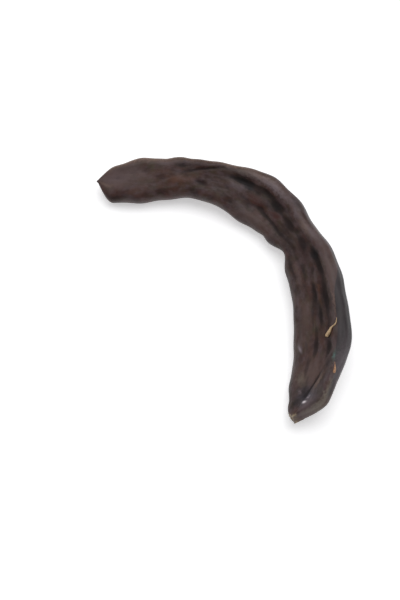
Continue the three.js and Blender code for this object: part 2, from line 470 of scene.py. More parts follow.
@dataclass(frozen=True)
class PodShape:
    """The pod's own form, without its fine wrinkles. Sizes are in millimetres and angles in degrees."""

    length: Value = 208.0
    half_width_at_style: Value = 10.4
    half_width_at_stalk: Value = 13.1
    rim_thickness: Value = 10.6
    web_at_style: Value = 9.6
    web_at_stalk: Value = 8.2
    settle: Value = 0.35
    start: tuple[float, float] = (-61.3, 56.5)
    heading_at_style: float = -4.0
    roll_at_style: float = 18.0
    roll_at_stalk: float = 36.0
    rolling: Range = (0.25, 0.8)
    widening: Range = (0.1, 0.7)
    thinning: Range = (0.15, 0.45)
    plan_steps: int = 400

    beak_length: float = 0.8
    beak_radius: float = 0.9
    style_end: End = End(17.5, 8.0, 18.0)
    tip_length: float = 9.0
    tip_rise: float = 1.1
    tip_bluntness: float = 1.0
    snout: End = End(0.4, 5.9, 2.3)
    snout_length: float = 8.0
    snout_slant: float = 1.1
    snout_bulge: float = 1.0
    snout_hook: float = 1.5
    snout_tilt: float = 0.25
    snout_bluntness: float = 0.25
    scar_depth: float = 0.7
    stalk_end: End = End(40.0, 14.0, 26.0)

    rim_inset: float = 2.9
    rim_spread: float = 3.4
    inner_rim_inset: float = 4.2
    inner_rim_spread: float = 4.6
    rim_blend: float = 0.3
    middle_softness: float = 0.01
    suture_depth: float = 0.15
    suture_spread: float = 0.32
    suture_sharpness: float = 6.0
    seeds: int = 13
    first_seed: float = 0.05
    last_seed: float = 0.95
    seed_growth: Range = (0.02, 0.1)
    seed_decline: Range = (0.88, 0.97)
    seed_drifts: tuple[Sway, ...] = (Sway(9.2, 0.7, 0.16), Sway(23.0, 0.0, 0.07))
    seed_variety: Sway = Sway(37.0, 1.1, 0.25)
    usual_seed: float = 0.75
    seed_rise: float = 0.4
    seed_half_breadth: float = 0.45
    scallop: float = 0.45
    scallop_level: float = 0.4
    inner_scallop_share: float = 0.5

    bends: tuple[Bend, ...] = (Bend(48, 0.11, 0.51), Bend(45, 0.35, 0.8), Bend(41, 0.75, 1.05))
    arches: tuple[Waver, ...] = (
        Waver(0.29, 2.4, 0.1),
        Waver(0.455, -0.5, 0.04),
        Waver(0.66, 2.2, 0.1),
        Waver(0.78, 1.45, 0.09),
    )
    outer_wavers: tuple[Waver, ...] = (
        Waver(0.02, -0.5, 0.02),
        Waver(0.07, -1.0, 0.022),
        Waver(0.12, 0.9, 0.025),
        Waver(0.175, -0.65, 0.014),
        Waver(0.21, 0.4, 0.014),
        Waver(0.235, -0.7, 0.03),
        Waver(0.268, -0.9, 0.02),
        Waver(0.32, -0.7, 0.03),
        Waver(0.36, 1.3, 0.025),
        Waver(0.408, 2.8, 0.035),
        Waver(0.463, 1.7, 0.032),
        Waver(0.54, -1.4, 0.03),
        Waver(0.79, 1.1, 0.045),
        Waver(0.875, -2.0, 0.03),
        Waver(0.945, 1.9, 0.022),
    )
    inner_wavers: tuple[Waver, ...] = (
        Waver(0.11, 1.0, 0.03),
        Waver(0.23, -1.1, 0.04),
        Waver(0.38, 1.8, 0.04),
        Waver(0.475, -1.2, 0.02),
        Waver(0.55, -4.4, 0.035),
        Waver(0.8, 1.9, 0.09),
        Waver(0.963, -2.6, 0.03),
    )
    relief: tuple[Relief, ...] = (
        Relief(Face.TOP, 0.055, 0.1, -0.35, 4, 2.5),
        Relief(Face.TOP, 0.09, -0.1, 0.3, 9, 4),
        Relief(Face.TOP, 0.12, 0.35, -0.35, 2.5, 3.5),
        Relief(Face.TOP, 0.215, 0.5, -0.35, 3, 2),
        Relief(Face.TOP, 0.22, -0.2, 0.3, 8, 3),
        Relief(Face.TOP, 0.255, -0.25, -0.5, 4, 1.6, -0.3),
        Relief(Face.TOP, 0.268, 0.5, -0.6, 10, 1.1, 0.28),
        Relief(Face.TOP, 0.3, -0.6, 0.35, 7, 3),
        Relief(Face.TOP, 0.345, 0.0, 0.4, 5, 2.6),
        Relief(Face.TOP, 0.348, -0.59, -0.6, 3.5, 1.8),
        Relief(Face.TOP, 0.352, 0.36, -0.9, 5, 1.6),
        Relief(Face.TOP, 0.397, 0.2, -0.4, 3, 1.5),
        Relief(Face.TOP, 0.405, 0.39, -0.8, 8, 1.4),
        Relief(Face.TOP, 0.41, 0.0, 0.35, 5, 2),
        Relief(Face.TOP, 0.424, -0.14, -0.4, 3, 1.5),
        Relief(Face.TOP, 0.43, -0.72, 0.6, 14, 3.2),
        Relief(Face.TOP, 0.452, 0.27, -0.9, 4, 2.2),
        Relief(Face.TOP, 0.482, -0.32, -0.6, 9, 1.1, -0.08),
        Relief(Face.TOP, 0.497, 0.68, 0.3, 4, 1.8),
        Relief(Face.TOP, 0.5, 0.2, -0.4, 5, 2),
        Relief(Face.TOP, 0.539, 0.7, 0.8, 7, 2.8),
        Relief(Face.TOP, 0.555, -0.3, -0.5, 8, 2.4),
        Relief(Face.TOP, 0.57, 0.15, -0.5, 6, 2.2),
        Relief(Face.TOP, 0.606, 0.38, -1.3, 3.4, 2.1),
        Relief(Face.TOP, 0.62, -0.6, -0.5, 7, 1.0, 0.05),
        Relief(Face.TOP, 0.634, 0.42, -0.8, 4.5, 1.7),
        Relief(Face.TOP, 0.655, -0.1, 0.3, 7, 2.4),
        Relief(Face.TOP, 0.66, 0.78, 0.7, 11, 2.4),
        Relief(Face.TOP, 0.695, 0.0, -0.6, 4.5, 1.1),
        Relief(Face.TOP, 0.717, 0.38, -1.0, 6, 2.0),
        Relief(Face.TOP, 0.74, -0.4, 0.5, 14, 2.8),
        Relief(Face.TOP, 0.746, 0.12, -0.6, 6, 1.3),
        Relief(Face.TOP, 0.785, 0.6, 0.35, 6, 1.8),
        Relief(Face.TOP, 0.815, -0.08, -0.5, 6, 1.4),
        Relief(Face.TOP, 0.823, -0.59, 0.5, 5, 1.5),
        Relief(Face.TOP, 0.832, 0.45, -0.6, 3, 1.5),
        Relief(Face.TOP, 0.87, 0.05, 0.4, 6, 4),
        Relief(Face.TOP, 0.905, -0.45, 0.3, 4, 2.5),
        Relief(Face.TOP, 0.912, 0.22, -0.4, 6, 1.0, -0.6),
        Relief(Face.TOP, 0.938, -0.08, -0.9, 3.4, 4.2),
        Relief(Face.TOP, 0.96, 0.1, 0.5, 1.8, 3.4),
        Relief(Face.UNDER, 0.2, 0.1, -0.5, 14, 1.7, 0.08),
        Relief(Face.UNDER, 0.33, -0.3, -0.4, 5, 2),
        Relief(Face.UNDER, 0.47, 0.35, -0.8, 13, 1.8, -0.06),
        Relief(Face.UNDER, 0.6, -0.1, -0.6, 9, 1.6, 0.1),
        Relief(Face.UNDER, 0.7, 0.5, 0.6, 20, 3),
        Relief(Face.UNDER, 0.8, 0.1, -0.7, 11, 1.7, -0.05),
        Relief(Face.UNDER, 0.91, 0.2, -0.5, 5, 2.3),
    )

    def heading(self, along: Value) -> Value:
        """The heading in plan, in radians clockwise from +X."""
        turned = sum(ease(along, bend.start, bend.end) * bend.turn for bend in self.bends)
        return (turned + self.heading_at_style) * math.radians(1)

    def plan(self) -> list[Vector]:
        """The middle line in plan, found by following the heading from the style tip.

        Returns:
            Its points, at even steps.
        """
        points = [Vector((*self.start, 0.0))]
        step = self.length / self.plan_steps
        for i in range(self.plan_steps):
            turn = self.heading((i + 0.5) / self.plan_steps)
            points.append(points[-1] + Vector((math.cos(turn), -math.sin(turn), 0.0)) * step)
        return points

    def plan_point(self, along: float) -> Vector:
        """A point of the middle line in plan.

        Args:
            along: The place along the pod.

        Returns:
            The point.
        """
        points = self.plan()
        place = clamped(along) * self.plan_steps
        i = min(int(place), self.plan_steps - 1)
        return points[i].lerp(points[i + 1], place - i)

    def station(self, along: Value, x: Value, y: Value) -> Station:
        """The cross-section's middle and how it is turned.

        Args:
            along: The place along the pod.
            x: The middle line's x there.
            y: The middle line's y there.

        Returns:
            The station.
        """
        roll = lerp(self.roll_at_style, self.roll_at_stalk, ease(along, *self.rolling)) * math.radians(1)
        half_width = lerp(self.half_width_at_style, self.half_width_at_stalk, ease(along, *self.widening))
        crest = half_width - self.rim_inset
        edge = self.rim_thickness * 0.5 * fullness(crest / half_width)
        standing = crest * sine(roll) + edge * cosine(roll)
        z = standing + swelling(self.arches, along) - self.settle
        return Station(x, y, z, self.heading(along), roll, half_width)

    def seed_wave(self, along: Value) -> Value:
        """One seed after another. No two are quite alike.

        Args:
            along: The place along the pod.

        Returns:
            A height from 0 between two seeds to 1 over the largest seed.
        """
        turns = (along - self.first_seed) * (self.seeds / (self.last_seed - self.first_seed))
        drift = sum(sway.at(along) for sway in self.seed_drifts)
        size = self.seed_variety.at(along) + self.usual_seed
        ends = ease(along, *self.seed_growth) * (1.0 - ease(along, *self.seed_decline))
        return size * ends * (cosine((turns + drift) * math.tau) * 0.5 + 0.5)

    def reach(self, along: Value, half_width: Value, side: str) -> Value:
        """How far the section reaches to its outer or inner edge, without scallops and wavers.

        Args:
            along: The place along the pod.
            half_width: Half the face's width there.
            side: "outer" or "inner".

        Returns:
            The distance from the middle line.
        """
        from_style = (along * self.length - self.beak_length) / getattr(self.style_end, side)
        from_stalk = (1.0 - along) * self.length / getattr(self.stalk_end, side)
        style = lerp(self.beak(along), half_width, rounded(from_style))
        return lerp(getattr(self.snout, side), style, rounded(from_stalk))

    def beak(self, along: Value) -> Value:
        """The radius of the small point at the style end."""
        return clamped(along * self.length / self.beak_length) ** 0.5 * self.beak_radius

    def thickness(self, along: Value) -> Value:
        """How the pod thins out towards its two ends.

        Args:
            along: The place along the pod.

        Returns:
            The share of the full thickness that the section has there.
        """
        half_rim = self.rim_thickness * 0.5
        from_style = (along * self.length - self.beak_length) / self.style_end.thickness
        from_stalk = (1.0 - along) * self.length / self.stalk_end.thickness
        style = lerp(self.beak(along) / half_rim, 1.0, rounded(from_style))
        return lerp(self.snout.thickness / half_rim, style, rounded(from_stalk))

    def relief_height(self, shape: Relief, along: Value, across: Value, half_width: Value) -> Value:
        """The height of one swelling or hollow at a place of the skin.

        Args:
            shape: The swelling or hollow.
            along: The place along the pod.
            across: The place across the face.
            half_width: Half the face's width there.

        Returns:
            The height.
        """
        lengthwise = (along - shape.along) * self.length
        crosswise = (across - shape.across) * half_width - lengthwise * shape.lean
        return bump(lengthwise, 0.0, shape.length) * bump(crosswise, 0.0, shape.breadth) * shape.height

    def dried(self, along: Value, across: Value, top: Value, half_width: Value) -> Value:
        """How far all swellings and hollows of a face lift it.

        Args:
            along: The place along the pod.
            across: The place across the face.
            top: 1 on the top face and 0 on the under face.
            half_width: Half the face's width there.

        Returns:
            The height.
        """
        over, under = (
            sum(
                self.relief_height(shape, along, across, half_width)
                for shape in self.relief
                if shape.face is face
            )
            for face in Face
        )
        return lerp(under, over, top)

    def rim(self, across: Value, outer: Value, inner: Value) -> Value:
        """How much of a rim's thickness the section has.

        Args:
            across: The place across the face.
            outer: How far the section reaches to its outer edge.
            inner: How far it reaches to its inner edge.

        Returns:
            The share, from 0 in the middle of the face to 1 on a rim's crest.
        """
        outer_share = ease(across, -self.rim_blend, self.rim_blend)
        inset = lerp(self.inner_rim_inset, self.rim_inset, outer_share)
        spread = lerp(self.inner_rim_spread, self.rim_spread, outer_share)
        from_middle = (across * across + self.middle_softness) ** 0.5
        from_edge = lerp(inner, outer, outer_share) * (1.0 - from_middle)
        return bump(from_edge, inset, spread)

    def skin(self, along: Value, across: Value, top: Value, half_width: Value) -> tuple[Value, Value, Value]:
        """A point of the skin, from its section's middle.

        Args:
            along: The place along the pod.
            across: The place across the face.
            top: 1 on the top face and 0 on the under face.
            half_width: Half the face's width there.

        Returns:
            Its distances outwards, upwards and forwards.
        """
        wave = self.seed_wave(along)
        scallops = (wave - self.scallop_level) * self.scallop
        inner_scallops = scallops * self.inner_scallop_share
        outer = self.reach(along, half_width, "outer") + scallops + swelling(self.outer_wavers, along)
        inner = self.reach(along, half_width, "inner") + inner_scallops + swelling(self.inner_wavers, along)
        thick = self.thickness(along)
        edge_side = side_of(across)
        edge_reach = lerp(inner, outer, edge_side * 0.5 + 0.5)
        seed = wave * bump(across, 0.0, self.seed_half_breadth) * self.seed_rise
        web = lerp(self.web_at_style, self.web_at_stalk, ease(along, *self.thinning))
        layers = lerp(web, self.rim_thickness, self.rim(across, outer, inner)) * 0.5
        half = thick * (layers + seed + self.dried(along, across, top, half_width))
        full = fullness(across)
        groove = bump(full, 0.0, self.suture_spread)
        suture = thick * groove * abs(across) ** self.suture_sharpness * self.suture_depth
        snout = 1.0 - ease((1.0 - along) * self.length, 0.0, self.snout_length)
        tip = 1.0 - ease(along * self.length, 0.0, self.tip_length)
        outward = across * edge_reach - edge_side * suture + tip * self.tip_rise - snout * self.snout_hook
        upward = (top * 2.0 - 1.0) * full * half
        cut = across * (self.snout_slant - across * self.snout_bulge) - self.snout_bluntness
        return outward, upward, (cut - upward * self.snout_tilt) * snout + tip * self.tip_bluntness


@dataclass(frozen=True)
class Paint:
    """A colour by its red, green and blue, each from 0 to 255 as on a screen."""

    red: float
    green: float
    blue: float

    def linear(self) -> tuple[float, float, float, float]:
        """The colour as the shaders take it, by the usual curve of screens.

        Returns:
            Its red, green, blue and opacity.
        """
        levels = (self.red / 255, self.green / 255, self.blue / 255)
        red, green, blue = (v / 12.92 if v <= 0.04045 else ((v + 0.055) / 1.055) ** 2.4 for v in levels)
        return red, green, blue, 1.0


class EffectBench(Bench):
    """A shader node group under construction, which takes a place and puts out masks and heights."""

    def __init__(self, name: str, sizes: dict[str, float], outputs: tuple[str, ...]) -> None:
        """Starts a group with its sockets.

        Args:
            name: The group's name.
            sizes: The names of its number inputs, with what they are unless a material says otherwise.
            outputs: The names of its outputs.
        """
        super().__init__(bpy.data.node_groups.new(name, "ShaderNodeTree"))
        self.tree.interface.new_socket("Place", in_out="INPUT", socket_type="NodeSocketVector")
        for size, value in sizes.items():
            socket = self.tree.interface.new_socket(size, in_out="INPUT", socket_type="NodeSocketFloat")
            socket.default_value = value
        for output in outputs:
            self.tree.interface.new_socket(output, in_out="OUTPUT", socket_type="NodeSocketFloat")
        self.entry = self.add("NodeGroupInput")
        self.exit = self.add("NodeGroupOutput")

    def given(self, name: str) -> Field:
        """One of the group's inputs."""
        return Field(self.entry.outputs[name])

    def give(self, name: str, value: Field) -> None:
        """Puts a value out."""
        connect(self.exit.inputs[name], value)


class MaterialBench(Bench):
    """A material under construction, round one Principled BSDF."""

    def __init__(self, name: str) -> None:
        """Starts a material with its shader and output.

        Args:
            name: The material's name.
        """
        self.material = bpy.data.materials.new(name)
        self.material.use_nodes = True
        super().__init__(self.material.node_tree)
        self.tree.nodes.clear()
        self.shader = self.add("ShaderNodeBsdfPrincipled")
        connect(self.add("ShaderNodeOutputMaterial").inputs["Surface"], self.shader.outputs[0])

    def attribute(self, name: str, output: str = "Fac") -> Field:
        """One of the mesh's own attributes."""
        return Field(self.add("ShaderNodeAttribute", attribute_name=name).outputs[output])

    def millimetres(self) -> Field:
        """The place on the object, in millimetres."""
        return self.scaled(self.add("ShaderNodeTexCoord").outputs["Object"], 1 / MM)

    def effect(self, tree: bpy.types.NodeTree, output: str, **inputs: Any) -> Field:
        """Places an effect's node group and reads one of its outputs.

        Args:
            tree: The node group.
            output: Which output to read.
            inputs: The group's inputs, with underscores for the spaces in their names.

        Returns:
            The output.
        """
        node = self.add("ShaderNodeGroup", node_tree=tree)
        for name, value in inputs.items():
            connect(node.inputs[name.replace("_", " ")], value)
        return Field(node.outputs[output])

    def mixed(self, base: Any, paint: Any, share: Value) -> Field:
        """A colour with some paint over it.

        Args:
            base: The colour below.
            paint: The colour above.
            share: How much of the paint covers the base.

        Returns:
            The mixed colour.
        """
        under, over = (colour.linear() if isinstance(colour, Paint) else colour for colour in (base, paint))
        mix = self.add("ShaderNodeMix", data_type="RGBA")
        for name, value in {"Factor": share, "A": under, "B": over}.items():
            connect(enabled(mix.inputs, name), value)
        return Field(enabled(mix.outputs, "Result"))

    def finish(self, colour: Any, roughness: Value, height: Field, **constants: float) -> bpy.types.Material:
        """Feeds the shader.

        Args:
            colour: The base colour.
            roughness: The roughness.
            height: The height of the finest relief, in millimetres.
            constants: The shader's plain inputs, with underscores for the spaces in their names.

        Returns:
            The finished material.
        """
        relief = self.add("ShaderNodeBump", {"Height": height, "Distance": MM})
        connect(self.shader.inputs["Base Color"], colour)
        connect(self.shader.inputs["Roughness"], roughness)
        connect(self.shader.inputs["Normal"], relief.outputs["Normal"])
        for name, value in constants.items():
            self.shader.inputs[name.replace("_", " ")].default_value = value
        return self.material


@dataclass(frozen=True)
class Effects:
    """The node groups that several finishes share."""

    grain: bpy.types.NodeTree
    mottle: bpy.types.NodeTree
    patch: bpy.types.NodeTree

    @classmethod
    def made(cls) -> "Effects":
        """Makes the groups."""
        return cls(cls.lengthwise_grain(), cls.mottling(), cls.soft_patch())

    @staticmethod
    def soft_patch() -> bpy.types.NodeTree:
        """One oval patch with a soft edge, which may slant.

        Its place is the distances along and across, and a share that the patch is held to.

        Returns:
            The group.
        """
        sizes = {"Strength": 1.0, "Along": 0.0, "Across": 0.0, "Length": 1.0, "Breadth": 1.0, "Lean": 0.0}
        bench = EffectBench("soft_patch", sizes, ("Mask",))
        s, c, allowed = bench.parts(bench.given("Place"))
        lengthwise = s - bench.given("Along")
        crosswise = c - bench.given("Across") - lengthwise * bench.given("Lean")
        oval = bump(lengthwise, 0.0, bench.given("Length")) * bump(crosswise, 0.0, bench.given("Breadth"))
        bench.give("Mask", oval * allowed * bench.given("Strength"))
        return bench.tree

    @staticmethod
    def lengthwise_grain() -> bpy.types.NodeTree:
        """Streaks that run along a plant part, and the low relief of its fibres and pores.

        Returns:
            The group.
        """
        sizes = {"Grain length": 6.0, "Grain breadth": 0.5, "Pore size": 0.35, "Fibre share": 0.6}
        bench = EffectBench("lengthwise_grain", sizes, ("Streaks", "Height"))
        s, c, t = bench.parts(bench.given("Place"))
        breadth = bench.given("Grain breadth")
        pore = bench.given("Pore size")
        drawn_out = bench.vector(s / bench.given("Grain length"), c / breadth, t / breadth)
        streaks = bench.noise(drawn_out, detail=3.0, roughness=0.6)
        pores = bench.noise(bench.vector(s / pore, c / pore, t / pore), detail=1.0)
        bench.give("Streaks", streaks)
        bench.give("Height", lerp(pores, streaks, bench.given("Fibre share")))
        return bench.tree

    @staticmethod
    def mottling() -> bpy.types.NodeTree:
        """Soft-edged patches, longer than they are broad.

        Returns:
            The group.
        """
        sizes = {"Patch size": 8.0, "Stretch": 2.0, "Share": 0.5, "Softness": 0.12, "Shift": 0.0}
        bench = EffectBench("mottling", sizes, ("Mask",))
        s, c, t = bench.parts(bench.given("Place"))
        patch = bench.given("Patch size")
        drawn_out = s / (patch * bench.given("Stretch")) + bench.given("Shift")
        cloud = bench.noise(bench.vector(drawn_out, c / patch, t / patch), detail=2.5, roughness=0.55)
        level = (1.0 - bench.given("Share")) * 0.5 + 0.25
        soft = bench.given("Softness")
        bench.give("Mask", ease(cloud, level - soft, level + soft))
        return bench.tree


class StainShadeAndSheen(Enum):
    """The paints of the patches on the skin: its own stains, and painted shade, sheen and highlights."""

    # Partly painted shade: laid on hollows and on the inner edge, these dark paints stand in for shade as
    # well as dark stains.
    BLUE_BLACK = Paint(12, 11, 18)
    BLACK_BROWN = Paint(28, 13, 8)
    MAROON = Paint(38, 17, 17)
    RED_BROWN = Paint(66, 32, 29)
    OCHRE = Paint(94, 58, 38)
    OLIVE = Paint(68, 61, 42)
    # Partly painted sheen: BROWN and TAN also lighten swellings and crests; LILAC is painted grey-lilac
    # sheen.
    BROWN = Paint(93, 74, 70)
    LILAC = Paint(106, 92, 95)
    TAN = Paint(124, 101, 88)
    CREAM = Paint(190, 172, 142)
    # Painted glint: TEAL is a painted coloured glint.
    TEAL = Paint(72, 110, 104)
    STEEL = Paint(68, 66, 75)
    STRAW = Paint(140, 132, 116)
    # Painted highlights: PALE and GLINT.
    PALE = Paint(150, 138, 144)
    GLINT = Paint(226, 216, 220)


@dataclass(frozen=True)
class Tint:
    """A soft patch of paint on the top face. Length and breadth are in millimetres."""

    patch_paint: StainShadeAndSheen
    strength: float
    along: float
    across: float
    length: float
    breadth: float
    lean: float = 0.0

    def sizes(self, shape: "PodShape") -> dict[str, float]:
        """The patch as the inputs of its node group, in millimetres.

        Args:
            shape: The pod's form.

        Returns:
            The inputs' values by their names.
        """
        return {
            "Strength": self.strength,
            "Along": self.along * shape.length,
            "Across": self.across * shape.half_width_at_stalk,
            "Length": self.length,
            "Breadth": self.breadth,
            "Lean": self.lean,
        }


@dataclass(frozen=True)
class Mottle:
    """Soft patches of one paint all over the skin. The patch size is in millimetres."""

    paint: Paint
    strength: float
    patch: float
    stretch: float
    share: float
    shift: float
    softness: float = 0.18

    def sizes(self) -> dict[str, float]:
        """The patches as the inputs of their node group, by their names."""
        outline = {"Patch size": self.patch, "Stretch": self.stretch, "Share": self.share}
        return {**outline, "Softness": self.softness, "Shift": self.shift}


@dataclass
class Coat:
    """The skin's colour as it is built up, one paint over another."""

    bench: MaterialBench
    effects: Effects
    shape: PodShape
    colour: Field

    def cover(self, paint: Any, share: Value) -> None:
        """Lays a paint over the colour, by the share that it covers."""
        self.colour = self.bench.mixed(self.colour, paint, share)

    def mottle(self, mottles: tuple[Mottle, ...], place: Field) -> None:
        """Lays soft patches all over the skin.

        Args:
            mottles: The kinds of patches, in the order in which they are laid.
            place: The distances along, across and through the pod.
        """
        for mottle in mottles:
            mask = self.bench.effect(self.effects.mottle, "Mask", Place=place, **mottle.sizes())
            self.cover(mottle.paint, mask * mottle.strength)

    def tint(self, tints: tuple[Tint, ...], place: Field) -> None:
        """Lays single patches at their places.

        Args:
            tints: The patches, in the order in which they are laid.
            place: The distances along and across, and a share that the patches are held to.
        """
        for tint in tints:
            mask = self.bench.effect(self.effects.patch, "Mask", Place=place, **tint.sizes(self.shape))
            self.cover(tint.patch_paint.value, mask)


